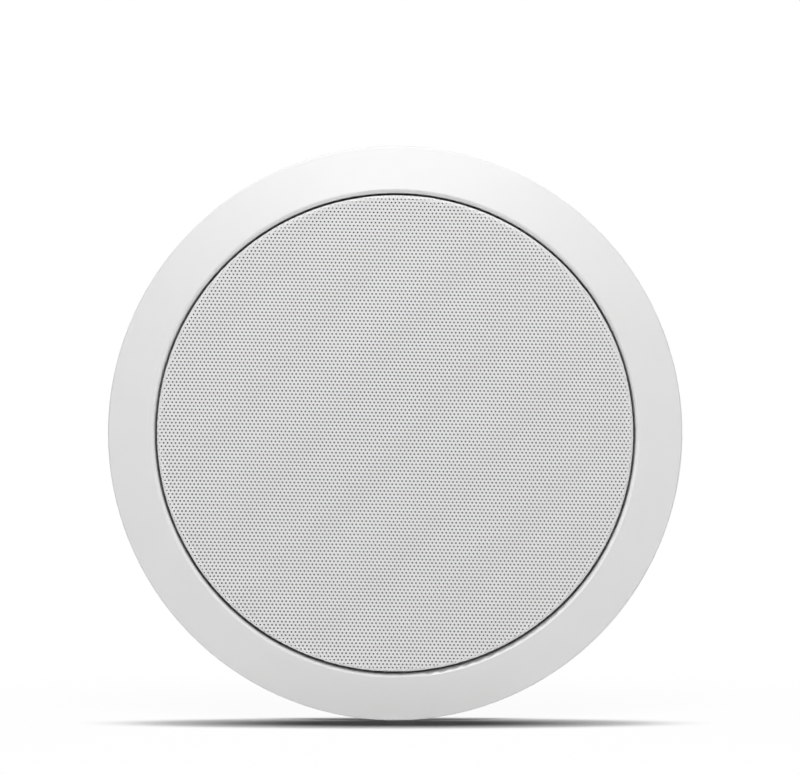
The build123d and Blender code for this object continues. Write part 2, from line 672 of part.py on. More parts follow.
# Tweeter bridge: a bar across the recess with a ring in the middle and a foot at each end
foot_mid = bridge_foot_r - BRIDGE_SCREW_SHIFT
bridge_plan = Rectangle(2 * foot_mid, 2 * BRIDGE_HALF_W) + Circle(bridge_ring_r)
bridge_plan = fillet(bridge_plan.vertices().filter_by(lambda v: abs(v.X) < bridge_ring_r), BRIDGE_ROUND)
tweeter_bridge = prism(bridge_plan, BRIDGE_FRONT, bridge_back)
foot_plan = SlotCenterToCenter(2 * BRIDGE_HALF_W - BRIDGE_FOOT_W, BRIDGE_FOOT_W, rotation=90)
rib_back = bridge_back + BRIDGE_RIB_H
rib_end = foot_mid - BRIDGE_FOOT_W / 2
rib_half = BRIDGE_RIB_W / 2
stiffener = block(bridge_bore_r, rib_end, bridge_back - JOIN, rib_back, -rib_half, rib_half)
bridge_screw_list = []
for side in (-1, 1):
    tweeter_bridge += prism(Pos(side * foot_mid, 0) * foot_plan, BRIDGE_FRONT, SHELF_FRONT)
    tweeter_bridge += turned(stiffener, 90 - side * 90)
    tweeter_bridge -= rod(side * bridge_foot_r, 0, BRIDGE_HOLE_R, BRIDGE_FRONT - JOIN, SHELF_FRONT + JOIN)
    screw_x = side * bridge_foot_r
    screw_end = shelf_back + SCREW_LENGTH_IN
    bridge_screw_list.append(
        pan_screw(screw_x, 0, BRIDGE_HEAD_R, BRIDGE_HEAD_H, BRIDGE_FRONT, SCREW_R, screw_end)
    )
tweeter_bridge -= prism(Circle(bridge_bore_r), BRIDGE_FRONT - JOIN, rib_back + JOIN)
bridge_screws = Compound(children=bridge_screw_list)

# Tweeter: face plate on the bridge's ring, dome, steel cup through the bore, magnet and pole plate
face_front = BRIDGE_FRONT - FACE_T
tweeter_face = spun(
    (face_r, BRIDGE_FRONT),
    (face_r, face_front + FACE_BREAK),
    (face_r - FACE_BREAK, face_front),
    (face_mouth_r, face_front),
    (face_throat_r, face_front + FACE_FLARE_H),
    (face_throat_r, BRIDGE_FRONT),
)
cup_front = BRIDGE_FRONT + DOME_T
dome_top = BRIDGE_FRONT - DOME_RISE
dome_front = dome_arc(DOME_R, BRIDGE_FRONT, dome_top)
dome_land = Polyline(
    (DOME_R, BRIDGE_FRONT), (dome_rim_r, BRIDGE_FRONT), (dome_rim_r, cup_front), (DOME_R, cup_front)
)
dome_back = dome_arc(DOME_R, cup_front, dome_top + DOME_T)
dome_axis = Line((0, dome_top + DOME_T), (0, dome_top))
tweeter_dome = revolve(make_face([dome_front, dome_land, dome_back, dome_axis]), Axis.Y)
cup_floor = CUP_BACK - CUP_WALL
tweeter_cup = spun(
    (cup_r, cup_front),
    (cup_r, CUP_BACK - CUP_BREAK),
    (cup_r - CUP_BREAK, CUP_BACK),
    (0, CUP_BACK),
    (0, cup_floor),
    (cup_in_r, cup_floor),
    (cup_in_r, cup_front),
)
magnet_front = cup_floor - TWEETER_MAGNET_H
tweeter_magnet = prism(Circle(tweeter_magnet_r), magnet_front, cup_floor)
tweeter_plate = prism(
    Circle(tweeter_magnet_r + TWEETER_PLATE_PROUD), magnet_front - TWEETER_PLATE_H, magnet_front
)

# Clamps, modelled at +X and moved round; a leg is parked along +Z and swings out to +X
clamp_screw = pan_screw(
    clamp_r, 0, CLAMP_HEAD_R, CLAMP_HEAD_H, SHELF_FRONT, CLAMP_SCREW_R, arm_back + CLAMP_SCREW_TAIL
)
collar_back = leg_back + BUSH_COLLAR_H
clamp_bush = rod(clamp_r, 0, bush_r, LEG_FRONT, collar_back)
clamp_bush += rod(clamp_r, 0, bush_r + BUSH_COLLAR_W, leg_back + BUSH_FIT, collar_back)
clamp_bush -= rod(clamp_r, 0, CLAMP_SCREW_R + BUSH_FIT, LEG_FRONT - JOIN, collar_back + JOIN)
pad_in = LEG_REACH - LEG_PAD_W
pad_front = LEG_FRONT - LEG_PAD_H
tooth = LEG_PAD_W / LEG_TEETH
teeth = []
for k in range(LEG_TEETH):
    teeth.append((pad_in + (k + 0.4) * tooth, pad_front))
    teeth.append((pad_in + (k + 1) * tooth, pad_front + LEG_TOOTH_DEEP))
leg_side = make_face(
    Polyline(
        (0, LEG_FRONT),
        (pad_in, LEG_FRONT),
        *teeth,
        (LEG_REACH, LEG_FRONT + LEG_TIP_T),
        (leg_boss_r + JOIN, leg_back - LEG_DROP),
        (0, leg_back - LEG_DROP),
        close=True,
    )
)
leg_blade = extrude(leg_side, amount=LEG_HALF_W, both=True)
leg_tip = leg_blade.edges().filter_by(Axis.Y).group_by(Axis.X)[-1]
leg_blade = fillet(leg_tip, LEG_TIP_ROUND)
pocket_from = leg_boss_r + LEG_SKIN
pocket_to = LEG_REACH - LEG_SKIN
for side in (-1, 1):
    z0, z1 = sorted((side * LEG_SPINE, side * (LEG_SPINE + LEG_POCKET_W)))
    leg_blade -= block(pocket_from, pocket_to, LEG_FRONT + LEG_SKIN, leg_back, z0, z1)
leg = Pos(clamp_r, 0, 0) * Rot(0, -90, 0) * leg_blade
leg += rod(clamp_r, 0, leg_boss_r, LEG_FRONT, leg_back)
leg -= rod(clamp_r, 0, bush_r + BUSH_FIT, LEG_FRONT - JOIN, leg_back + JOIN)

# Crossover board on its four posts, with the parts that stand on it
board_mid = (post_low_z + post_high_z) / 2
board_x = 2 * (POST_X + BOARD_MARGIN)
board_z = post_high_z - post_low_z + 2 * BOARD_MARGIN
board_plan = Pos(0, board_mid) * RectangleRounded(board_x, board_z, BOARD_ROUND)
board_screw_list = []
for side in (-1, 1):
    for post_z in (post_low_z, post_high_z):
        board_plan -= Pos(side * POST_X, post_z) * Circle(BOARD_HOLE_R)
        post_x = side * POST_X
        screw_end = BOARD_SCREW_IN - BOARD_FRONT
        screw = pan_screw(post_x, post_z, BOARD_HEAD_R, BOARD_HEAD_H, -board_back, BOARD_SCREW_R, screw_end)
        board_screw_list.append(mirror(screw, Plane.XZ))
crossover_board = prism(board_plan, BOARD_FRONT, board_back)
board_screws = Compound(children=board_screw_list)


def choke(place, r, height, flange, core_r):
    """An air-core coil wound on a flanged bobbin, with a hole through the middle."""
    x, z = place[0], board_mid + place[1]
    coil = rod(x, z, r, board_back, board_back + flange)
    coil += rod(x, z, r - WINDING_SINK, board_back + flange, board_back + height - flange)
    coil += rod(x, z, r, board_back + height - flange, board_back + height)
    return coil - rod(x, z, core_r, board_back - JOIN, board_back + height + JOIN)


woofer_choke = choke(CHOKE_AT, CHOKE_R, CHOKE_H, CHOKE_FLANGE, CHOKE_CORE_R)
tweeter_choke = choke(
    SMALL_CHOKE_AT, SMALL_CHOKE_R, SMALL_CHOKE_H, SMALL_CHOKE_FLANGE, SMALL_CHOKE_CORE_R
)
capacitor = Rot(0, 90, 0) * Cylinder(CAPACITOR_R, CAPACITOR_L)
capacitor = fillet(capacitor.edges(), CAPACITOR_ROUND)
capacitor_y = board_back + CAPACITOR_R + CAPACITOR_LIFT
capacitor = Pos(CAPACITOR_AT[0], capacitor_y, board_mid + CAPACITOR_AT[1]) * capacitor
resistor = Box(RESISTOR_X, RESISTOR_H, RESISTOR_Z)
resistor = fillet(resistor.edges().group_by(Axis.Y)[-1], RESISTOR_ROUND)
resistor = Pos(RESISTOR_AT[0], board_back + RESISTOR_H / 2, board_mid + RESISTOR_AT[1]) * resistor

# Spring terminals: a block with two bores, each with a push post
block_x = BLOCK_AT[0]
block_z = board_mid + BLOCK_AT[1]
block_back = board_back + BLOCK_H
terminal_block = Box(BLOCK_X, BLOCK_H, BLOCK_Z)
terminal_block = fillet(terminal_block.edges().filter_by(Axis.Y), BLOCK_ROUND)
terminal_block = fillet(terminal_block.edges().group_by(Axis.Y)[-1], BLOCK_TOP_ROUND)
terminal_block = Pos(block_x, board_back + BLOCK_H / 2, block_z) * terminal_block
bore_floor = board_back + BLOCK_FLOOR
stem_end = bore_floor + PUSH_TRAVEL + PUSH_STOP
cap_from = block_back + PUSH_TRAVEL + PUSH_STOP
posts = []
for side in (-1, 1):
    push_x = block_x + side * PUSH_X
    terminal_block -= rod(push_x, block_z, PUSH_STEM_R + PUSH_FIT, bore_floor, block_back + JOIN)
    push = rod(push_x, block_z, PUSH_CAP_R, cap_from, cap_from + PUSH_CAP_H)
    push = fillet(push.edges().filter_by(GeomType.CIRCLE).sort_by(Axis.Y)[-1], PUSH_CAP_ROUND)
    flutes = Sketch()
    for k in range(FLUTE_COUNT):
        flute_at = polar(PUSH_CAP_R + FLUTE_OUT, k * 360 / FLUTE_COUNT)
        flutes += Pos(push_x, block_z) * Pos(*flute_at) * Circle(FLUTE_R)
    push -= prism(flutes, cap_from + FLUTE_FROM, cap_from + PUSH_CAP_H + JOIN)
    push += rod(push_x, block_z, PUSH_STEM_R, stem_end, cap_from)
    wire_hole = Cylinder(PUSH_WIRE_R, 2 * PUSH_CAP_R)
    push -= Pos(push_x, (block_back + cap_from) / 2, block_z) * wire_hole
    posts.append(push)

pieces = {
    "bezel_frame": frame,
    "grille": grille,
    "grille_cloth": grille_cloth,
    "woofer_gasket": woofer_gasket,
    "woofer_basket": basket,
    "woofer_surround": woofer_surround,
    "woofer_cone": woofer_cone,
    "dust_cap": dust_cap,
    "coil_former": coil_former,
    "voice_coil": voice_coil,
    "spider": spider,
    "top_plate": top_plate,
    "magnet": magnet,
    "yoke": yoke,
    "woofer_screws": woofer_screws,
    "woofer_terminal": woofer_terminal,
    "woofer_lugs": woofer_lugs,
    "tweeter_bridge": tweeter_bridge,
    "bridge_screws": bridge_screws,
    "tweeter_face": tweeter_face,
    "tweeter_dome": tweeter_dome,
    "tweeter_cup": tweeter_cup,
    "tweeter_magnet": tweeter_magnet,
    "tweeter_plate": tweeter_plate,
    "crossover_board": crossover_board,
    "board_screws": board_screws,
    "woofer_choke": woofer_choke,
    "tweeter_choke": tweeter_choke,
    "capacitor": capacitor,
    "resistor": resistor,
    "terminal_block": terminal_block,
    "post_red": posts[0],
    "post_black": posts[1],
}
for number, clamp in enumerate(CLAMP_ANGLES, 1):
    pieces[f"clamp_screw_{number}"] = turned(clamp_screw, clamp)
    pieces[f"clamp_bush_{number}"] = turned(clamp_bush, clamp)
    pieces[f"clamp_leg_{number}"] = turned(leg, clamp)

os.makedirs("parts", exist_ok=True)
for name, piece in pieces.items():
    export_step(piece, f"parts/{name}.step")
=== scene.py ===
from math import asin, cos, hypot, pi, radians, sin, sqrt

import bpy
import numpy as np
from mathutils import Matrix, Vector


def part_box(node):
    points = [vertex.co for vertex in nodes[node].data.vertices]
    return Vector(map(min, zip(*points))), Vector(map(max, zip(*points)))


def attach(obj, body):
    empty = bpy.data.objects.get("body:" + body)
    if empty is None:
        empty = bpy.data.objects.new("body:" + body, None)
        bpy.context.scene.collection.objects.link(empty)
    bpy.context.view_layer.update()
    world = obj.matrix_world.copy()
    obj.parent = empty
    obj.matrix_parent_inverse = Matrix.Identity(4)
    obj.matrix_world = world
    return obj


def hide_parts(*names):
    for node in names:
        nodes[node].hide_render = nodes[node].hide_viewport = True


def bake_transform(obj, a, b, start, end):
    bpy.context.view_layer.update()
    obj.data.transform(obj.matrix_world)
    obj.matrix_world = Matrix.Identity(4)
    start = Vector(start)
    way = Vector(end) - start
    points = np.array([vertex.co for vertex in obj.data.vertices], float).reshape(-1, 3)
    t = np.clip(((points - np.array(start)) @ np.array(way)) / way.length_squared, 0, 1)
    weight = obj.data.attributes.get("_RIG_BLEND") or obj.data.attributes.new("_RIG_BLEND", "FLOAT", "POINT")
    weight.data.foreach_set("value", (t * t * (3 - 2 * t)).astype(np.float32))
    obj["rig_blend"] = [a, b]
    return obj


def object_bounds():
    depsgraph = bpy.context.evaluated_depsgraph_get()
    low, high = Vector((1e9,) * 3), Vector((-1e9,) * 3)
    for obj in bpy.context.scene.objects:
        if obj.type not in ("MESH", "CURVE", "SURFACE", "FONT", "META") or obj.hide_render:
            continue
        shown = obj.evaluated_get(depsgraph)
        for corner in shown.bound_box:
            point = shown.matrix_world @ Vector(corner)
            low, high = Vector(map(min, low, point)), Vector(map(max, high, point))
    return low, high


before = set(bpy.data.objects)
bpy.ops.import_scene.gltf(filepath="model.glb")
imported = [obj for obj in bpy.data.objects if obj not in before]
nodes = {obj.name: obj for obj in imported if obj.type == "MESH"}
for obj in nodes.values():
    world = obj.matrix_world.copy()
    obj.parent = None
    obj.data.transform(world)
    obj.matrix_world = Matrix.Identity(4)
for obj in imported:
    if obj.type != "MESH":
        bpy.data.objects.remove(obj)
cad_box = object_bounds()
bpy.context.scene.view_settings.view_transform = "Standard"


# Bezel and frame: one white ABS moulding with a fine satin grain.
# Its flange lies on the ceiling and everything else is screwed to it or presses into it.
BLOTCH_DETAIL = 4.0
BLOTCH_FROM = 0.35
BLOTCH_TO = 0.65


def surface_of(material):
    """The Principled node of a material."""
    return material.node_tree.nodes["Principled BSDF"]


def finish(name, colour=None, roughness=None, metallic=0.0):
    """A new Principled material. A pattern gives it what isn't given here."""
    material = bpy.data.materials.new(name)
    material.use_nodes = True
    surface = surface_of(material)
    surface.inputs["Metallic"].default_value = metallic
    if colour:
        surface.inputs["Base Color"].default_value = (*colour, 1)
    if roughness:
        surface.inputs["Roughness"].default_value = roughness
    return material


def wear(piece, material):
    """Puts one material on every face of a piece."""
    piece.data.materials.clear()
    piece.data.materials.append(material)


def on_piece(material, pattern):
    """Lays a texture node on the piece's own coordinates, in metres."""
    place = material.node_tree.nodes.new("ShaderNodeTexCoord")
    material.node_tree.links.new(place.outputs["Object"], pattern.inputs["Vector"])
    return pattern


def noise(material, scale, detail=2.0):
    """The height of a noise pattern on the piece."""
    pattern = material.node_tree.nodes.new("ShaderNodeTexNoise")
    pattern.inputs["Scale"].default_value = scale
    pattern.inputs["Detail"].default_value = detail
    return on_piece(material, pattern).outputs["Fac"]


def relief(material, height, depth, strength):
    """A bump from the height of a pattern."""
    bump = material.node_tree.nodes.new("ShaderNodeBump")
    bump.inputs["Strength"].default_value = strength
    bump.inputs["Distance"].default_value = depth
    material.node_tree.links.new(height, bump.inputs["Height"])
    material.node_tree.links.new(bump.outputs["Normal"], surface_of(material).inputs["Normal"])


def grain(material, scale, depth, strength):
    """A fine bump from noise."""
    relief(material, noise(material, scale), depth, strength)


def tones(material, height, dark, pale, socket="Base Color"):
    """A ramp between two colours, or two values of another socket, by the height of a pattern."""
    ramp = material.node_tree.nodes.new("ShaderNodeValToRGB")
    ramp.color_ramp.elements[0].color = (*dark, 1)
    ramp.color_ramp.elements[1].color = (*pale, 1)
    material.node_tree.links.new(height, ramp.inputs["Fac"])
    material.node_tree.links.new(ramp.outputs["Color"], surface_of(material).inputs[socket])
    return ramp.color_ramp


def two_tones(material, scale, dark, pale, socket="Base Color"):
    """Soft blotches between two colours, or two values of another socket."""
    ramp = tones(material, noise(material, scale, BLOTCH_DETAIL), dark, pale, socket)
    ramp.elements[0].position = BLOTCH_FROM
    ramp.elements[1].position = BLOTCH_TO


white_abs = finish("white_abs", roughness=0.48)
surface_of(white_abs).inputs["Specular IOR Level"].default_value = 1.0
two_tones(white_abs, scale=60, dark=(0.875, 0.875, 0.868), pale=(0.885, 0.885, 0.88))
grain(white_abs, scale=5200, depth=0.00002, strength=0.25)
wear(nodes["bezel_frame"], white_abs)

# Grille: perforated steel sheet, pressed into a shallow pan and powder-coated white.
# The holes stand in a triangular pattern whose rows tilt a little, and run on over the pressed edge.
SIDES = 6
LEVEL_TURN = 30
PITCH = 0.00156
HOLE_CORNER = 0.00038
ROW_TILT = -1.04
BEND_R = 0.0010
SHEET = 0.0008
HOLE_MARGIN = 0.0005
RIM_DROP = 0.0014
RIM_SEGMENTS = 240
COPIES_EACH_WAY = 84
MERGE_SHARE = 0.05
PLAIN_EDGE_SHARE = 0.9
AREA_SLACK = 0.05
ON_RIM = 0.00002
pan_low, pan_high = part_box("grille")
flat_r = pan_high.x - BEND_R
bend_end = flat_r + BEND_R * pi / 2
rim_start = bend_end + RIM_DROP
blank_r = bend_end + pan_high.y - pan_low.y - BEND_R
across = sqrt(3) * PITCH
bpy.ops.object.select_all(action="DESELECT")
bpy.ops.mesh.primitive_circle_add(vertices=SIDES, radius=PITCH, fill_type="TRIFAN")
sheet = bpy.context.object
sheet.name = "grille_upper"
for name, offset in (("rows", (across, 0, 0)), ("columns", (across / 2, 1.5 * PITCH, 0))):
    lattice = sheet.modifiers.new(name, "ARRAY")
    lattice.count = COPIES_EACH_WAY
    lattice.use_relative_offset = False
    lattice.use_constant_offset = True
    lattice.constant_offset_displace = offset
    lattice.use_merge_vertices = True
    lattice.merge_threshold = PITCH * MERGE_SHARE
    bpy.ops.object.modifier_apply(modifier=name)
middle = COPIES_EACH_WAY // 2
sheet.location = (-1.5 * middle * across, -1.5 * middle * PITCH, 0)
bpy.ops.object.transform_apply(location=True)
sheet.rotation_euler = (0, 0, radians(LEVEL_TURN + ROW_TILT))
bpy.ops.object.transform_apply(rotation=True)
sheet.rotation_euler = (radians(90), 0, 0)
bpy.ops.object.transform_apply(rotation=True)


def pick(piece, points=None, faces=None):
    """Selects a mesh piece's points or faces by a test, and goes into edit mode."""
    bpy.ops.object.mode_set(mode="EDIT")
    bpy.ops.mesh.select_mode(type="VERT" if points else "FACE")
    bpy.ops.mesh.select_all(action="DESELECT")
    bpy.ops.object.mode_set(mode="OBJECT")
    for point in piece.data.vertices if points else ():
        point.select = points(point)
    for face in piece.data.polygons if faces else ():
        face.select = faces(face)
    bpy.ops.object.mode_set(mode="EDIT")


pick(sheet, points=lambda p: hypot(p.co.x, p.co.z) > rim_start - HOLE_MARGIN)
bpy.ops.mesh.delete(type="VERT")
bpy.ops.mesh.select_all(action="SELECT")
bpy.ops.mesh.region_to_loop()
bpy.ops.object.mode_set(mode="OBJECT")
margin = {point.index for point in sheet.data.vertices if point.select}
pick(sheet, points=lambda p: p.index not in margin)
bpy.ops.mesh.bevel(offset=HOLE_CORNER, affect="VERTICES", segments=1)
bpy.ops.object.mode_set(mode="OBJECT")
hole_area = 1.5 * sqrt(3) * HOLE_CORNER**2
pick(sheet, faces=lambda f: len(f.vertices) == SIDES and abs(f.area / hole_area - 1) < AREA_SLACK)
bpy.ops.mesh.delete(type="FACE")
bpy.ops.mesh.primitive_circle_add(vertices=RIM_SEGMENTS, radius=rim_start, rotation=(radians(90), 0, 0))
bpy.ops.object.mode_set(mode="OBJECT")
uses = {}
for face in sheet.data.polygons:
    for key in face.edge_keys:
        uses[key] = uses.get(key, 0) + 1


def pick_edges(piece, test):
    """Selects a mesh piece's edges by a test of the edge and its two ends, and goes into edit mode."""
    bpy.ops.object.mode_set(mode="EDIT")
    bpy.ops.mesh.select_mode(type="EDGE")
    bpy.ops.mesh.select_all(action="DESELECT")
    bpy.ops.object.mode_set(mode="OBJECT")
    for edge in piece.data.edges:
        edge.select = test(edge, *(piece.data.vertices[i].co for i in edge.vertices))
    bpy.ops.object.mode_set(mode="EDIT")


def borders_rim(edge, start, end):
    """True for the loose rim circle and for the lattice's outer edges, which are longer than a hole's."""
    on_faces = uses.get(edge.key, 0)
    return on_faces == 0 or (on_faces == 1 and (start - end).length > PLAIN_EDGE_SHARE * PITCH)


pick_edges(sheet, borders_rim)
bpy.ops.mesh.fill()
bpy.ops.object.mode_set(mode="OBJECT")
pick_edges(sheet, lambda e, a, b: min(hypot(a.x, a.z), hypot(b.x, b.z)) > rim_start - ON_RIM)
bpy.ops.mesh.extrude_region_move()
grow = blank_r / rim_start
bpy.ops.transform.resize(value=(grow, 1, grow), center_override=(0, 0, 0))
bpy.ops.mesh.select_all(action="SELECT")
bpy.ops.mesh.normals_make_consistent(inside=False)
bpy.ops.object.mode_set(mode="OBJECT")
if sum(face.normal.y * face.area for face in sheet.data.polygons) > 0:
    bpy.ops.object.mode_set(mode="EDIT")
    bpy.ops.mesh.flip_normals()
    bpy.ops.object.mode_set(mode="OBJECT")
for point in sheet.data.vertices:
    blank = hypot(point.co.x, point.co.z)
    turn = min(max(blank - flat_r, 0) / BEND_R, pi / 2)
    pressed = min(blank, flat_r) + BEND_R * sin(turn)
    drop = BEND_R * (1 - cos(turn)) + max(blank - bend_end, 0)
    scale = pressed / blank if blank else 1
    point.co = (point.co.x * scale, pan_low.y + drop, point.co.z * scale)
tilt = radians(ROW_TILT)
pick(sheet, faces=lambda f: f.center.z * cos(tilt) - f.center.x * sin(tilt) < 0)
bpy.ops.mesh.separate(type="SELECTED")
bpy.ops.object.mode_set(mode="OBJECT")
lower = next(piece for piece in bpy.context.selected_objects if piece is not sheet)
lower.name = "grille_lower"
white_coat = finish("white_coat", roughness=0.5)
two_tones(white_coat, scale=80, dark=(0.855, 0.855, 0.85), pale=(0.865, 0.865, 0.86))
for half in (sheet, lower):
    bpy.ops.object.select_all(action="DESELECT")
    half.select_set(True)
    bpy.context.view_layer.objects.active = half
    wall = half.modifiers.new("wall", "SOLIDIFY")
    wall.thickness = SHEET
    wall.offset = -1
    bpy.ops.object.modifier_apply(modifier="wall")
    wear(half, white_coat)
    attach(half, "frame")
    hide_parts("grille")

# Grille cloth: thin black acoustic cloth glued behind the perforated sheet.
# It is an open weave for the sound, and keeps the inside from showing through the holes.
BAND_SCALE = pi / 10
CLOTH_THREADS = 1800
CLOTH_THREAD_DEPTH = 0.0001
CLOTH_SEGMENTS = 144


def bands(material, per_m, along):
    """The height of even ridges that follow each other along one axis."""
    ridges = material.node_tree.nodes.new("ShaderNodeTexWave")
    ridges.wave_type = "BANDS"
    ridges.bands_direction = along
    ridges.inputs["Scale"].default_value = per_m * BAND_SCALE
    return on_piece(material, ridges).outputs["Fac"]


def weave(material, threads_per_m, depth, dark, pale):
    """Crossing threads along X and Z, dark between them and pale on top."""
    height = material.node_tree.nodes.new("ShaderNodeMath")
    height.operation = "MULTIPLY"
    material.node_tree.links.new(bands(material, threads_per_m, "X"), height.inputs[0])
    material.node_tree.links.new(bands(material, threads_per_m, "Z"), height.inputs[1])
    tones(material, height.outputs["Value"], dark, pale)
    relief(material, height.outputs["Value"], depth, 1.0)


cloth_low, cloth_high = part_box("grille_cloth")
bpy.ops.object.select_all(action="DESELECT")
bpy.ops.mesh.primitive_circle_add(vertices=CLOTH_SEGMENTS, radius=cloth_high.x, fill_type="TRIFAN")
cloth = bpy.context.object
cloth.name = "acoustic_cloth"
cloth.rotation_euler = (radians(90), 0, 0)
cloth.location = (0, (cloth_low.y + cloth_high.y) / 2, 0)
bpy.ops.object.transform_apply(location=True, rotation=True)
wall = cloth.modifiers.new("wall", "SOLIDIFY")
wall.thickness = cloth_high.y - cloth_low.y
wall.offset = 0
bpy.ops.object.modifier_apply(modifier="wall")
black_weave = finish("black_weave", roughness=0.95)
weave(black_weave, CLOTH_THREADS, CLOTH_THREAD_DEPTH, dark=(0.012, 0.012, 0.012), pale=(0.03, 0.03, 0.03))
wear(cloth, black_weave)
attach(cloth, "frame")
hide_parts("grille_cloth")

# Woofer chassis: a basket pressed from steel and stoved black, on a strip of closed-cell foam tape.
# Four plated screws hold its flange to the back of the well.
black_steel = finish("black_steel", colour=(0.018, 0.018, 0.02))
two_tones(black_steel, scale=240, dark=(0.30, 0.30, 0.30), pale=(0.44, 0.44, 0.44), socket="Roughness")
grain(black_steel, scale=900, depth=0.00006, strength=0.3)
wear(nodes["woofer_basket"], black_steel)
foam = finish("foam_tape", colour=(0.03, 0.03, 0.03), roughness=0.95)
grain(foam, scale=2600, depth=0.0002, strength=0.8)
wear(nodes["woofer_gasket"], foam)
zinc = finish("zinc_plate", roughness=0.34, metallic=1.0)
two_tones(zinc, scale=170, dark=(0.57, 0.575, 0.57), pale=(0.65, 0.65, 0.63))
grain(zinc, scale=1500, depth=0.00002, strength=0.3)
for name in ("woofer_screws", "bridge_screws", "board_screws"):
    wear(nodes[name], zinc)

# Woofer cone, cap and surround: filled polypropylene with a faint sparkle, hung in a butyl rubber roll.
# The voice coil is enamelled copper on an amber former, centred by a resin-stiffened cloth spider.
cone = finish("cone_plastic", roughness=0.42)
two_tones(cone, scale=1800, dark=(0.022, 0.022, 0.024), pale=(0.045, 0.045, 0.048))
grain(cone, scale=1800, depth=0.00005, strength=0.3)
wear(nodes["woofer_cone"], cone)
wear(nodes["dust_cap"], cone)
ROLL_WALL = 0.0008
BOND_WIDTH = 0.003
LAND_SHARE = 0.2
ROLL_POINTS = 40
SPIN_STEPS = 120
WIRE_TURNS = 2500
WIRE_DEPTH = 0.0002
WIRE_STRENGTH = 0.8


def spun_ring(name, line, points, wall):
    """A thin ring, spun round the speaker's axis from a line of radius and depth."""
    bpy.ops.object.select_all(action="DESELECT")
    bpy.ops.mesh.primitive_grid_add(x_subdivisions=points, y_subdivisions=1, size=2)
    ring = bpy.context.object
    ring.name = name
    pick(ring, points=lambda p: p.co.y > 0)
    bpy.ops.mesh.delete(type="VERT")
    bpy.ops.object.mode_set(mode="OBJECT")
    for point in ring.data.vertices:
        out, depth = line((point.co.x + 1) / 2)
        point.co = (out, depth, 0)
    pick(ring, points=lambda p: True)
    bpy.ops.mesh.spin(steps=SPIN_STEPS, angle=2 * pi, center=(0, 0, 0), axis=(0, 1, 0))
    bpy.ops.mesh.select_all(action="SELECT")
    bpy.ops.mesh.normals_make_consistent(inside=False)
    bpy.ops.mesh.faces_shade_smooth()
    bpy.ops.object.mode_set(mode="OBJECT")
    thickness = ring.modifiers.new("wall", "SOLIDIFY")
    thickness.thickness = wall
    thickness.offset = 0
    bpy.ops.object.modifier_apply(modifier="wall")
    return ring


def hang(ring, still_r, moving_r):
    """Lets a ring stay with the frame at its outer edge, and follow the cone more and more inwards."""
    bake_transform(ring, "frame", "cone", start=(still_r, 0, 0), end=(moving_r, 0, 0))
    follows = ring.data.attributes["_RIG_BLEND"].data
    for point in ring.data.vertices:
        inwards = (still_r - hypot(point.co.x, point.co.z)) / (still_r - moving_r)
        inwards = min(max(inwards, 0), 1)
        follows[point.index].value = inwards * inwards * (3 - 2 * inwards)


roll_low, roll_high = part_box("woofer_surround")
cone_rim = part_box("woofer_cone")[1].x
roll_at = cone_rim + roll_high.y - roll_low.y
roll_r = roll_high.y - roll_low.y - ROLL_WALL / 2
land_turn = asin(ROLL_WALL / 2 / roll_r)
inner_end = roll_at - roll_r * cos(land_turn)
outer_end = roll_at + roll_r * cos(land_turn)


def roll_line(share):
    """A flat land on the cone, a half roll towards the room, and a flat land on the basket."""
    turn = min(max((share - LAND_SHARE) / (1 - 2 * LAND_SHARE), 0), 1)
    angle = land_turn + turn * (pi - 2 * land_turn)
    out = roll_at - roll_r * cos(angle)
    out += max(share - 1 + LAND_SHARE, 0) / LAND_SHARE * (roll_high.x - outer_end)
    out -= max(LAND_SHARE - share, 0) / LAND_SHARE * (inner_end - cone_rim + BOND_WIDTH)
    return out, roll_high.y - roll_r * sin(angle)


butyl = finish("butyl_rubber", colour=(0.014, 0.014, 0.014))
two_tones(butyl, scale=260, dark=(0.52, 0.52, 0.52), pale=(0.66, 0.66, 0.66), socket="Roughness")
grain(butyl, scale=3000, depth=0.00003, strength=0.4)
surround = spun_ring("surround_roll", roll_line, ROLL_POINTS, ROLL_WALL)
wear(surround, butyl)
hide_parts("woofer_surround")
hang(surround, outer_end, inner_end)
amber = finish("amber_film", roughness=0.25)
two_tones(amber, scale=200, dark=(0.37, 0.14, 0.022), pale=(0.46, 0.19, 0.036))
wear(nodes["coil_former"], amber)
enamel = finish("copper_wire", roughness=0.3, metallic=0.9)
two_tones(enamel, scale=120, dark=(0.48, 0.17, 0.055), pale=(0.62, 0.24, 0.09))
relief(enamel, bands(enamel, WIRE_TURNS, "Y"), WIRE_DEPTH, WIRE_STRENGTH)
wear(nodes["voice_coil"], enamel)
SPIDER_WALL = 0.0006
WAVE_HEIGHT = 0.0013
WAVES = 5
WAVES_FROM = 0.018
WAVES_TO = 0.044
COLLAR_SHARE = 0.08
WAVE_POINTS = 96
SPIDER_THREADS = 1100
SPIDER_THREAD_DEPTH = 0.0002
spider_low, spider_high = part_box("spider")
spider_seat = spider_high.y - WAVE_HEIGHT - SPIDER_WALL / 2
collar_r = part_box("coil_former")[1].x + SPIDER_WALL / 2


def wave_line(share):
    """A collar on the coil former, five round waves, and a flat land on the basket."""
    out = collar_r + max(share - COLLAR_SHARE, 0) / (1 - COLLAR_SHARE) * (spider_high.x - collar_r)
    turn = min(max((out - WAVES_FROM) / (WAVES_TO - WAVES_FROM), 0), 1)
    rise = max(COLLAR_SHARE - share, 0) / COLLAR_SHARE * (spider_seat - spider_low.y)
    return out, spider_seat + WAVE_HEIGHT * sin(turn * 2 * pi * WAVES) - rise


